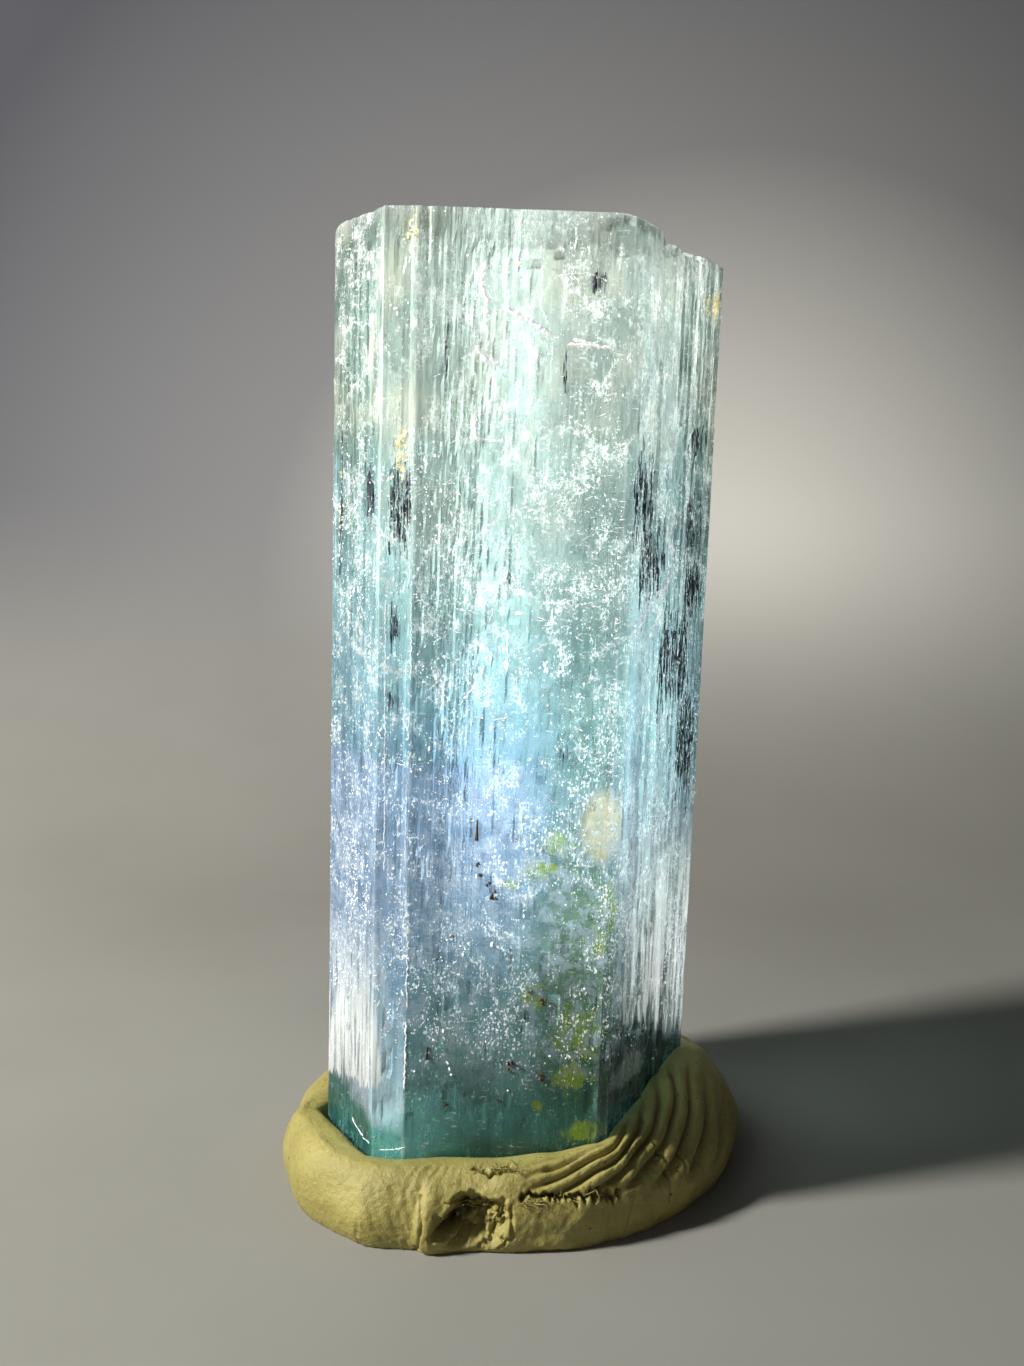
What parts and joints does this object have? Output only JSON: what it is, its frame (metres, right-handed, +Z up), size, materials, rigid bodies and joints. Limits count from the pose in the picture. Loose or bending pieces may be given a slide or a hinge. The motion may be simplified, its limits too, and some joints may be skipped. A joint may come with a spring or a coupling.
{
  "type": "aquamarine crystal in a putty ring",
  "caption": "Blue-green aquamarine prism with a flat top, standing upright in a low pressed ring of pale mounting putty.",
  "frame": {"origin": "centre of the object's bounding box in plan, on the surface it stands on", "axes": "+Z up along the crystal's length, -Y towards the wide front face, +X to that face's right"},
  "size_m": [0.021, 0.019, 0.0409],
  "materials": {
    "aquamarine": "translucent blue-green stone, finely striated along its length, flat frosted top",
    "putty": "matt pale khaki putty with pressed ridges, wrinkles and torn cracks"
  },
  "bodies": {
    "root": {"crystal": "aquamarine", "putty_ring": "putty"}
  },
  "joints": []
}
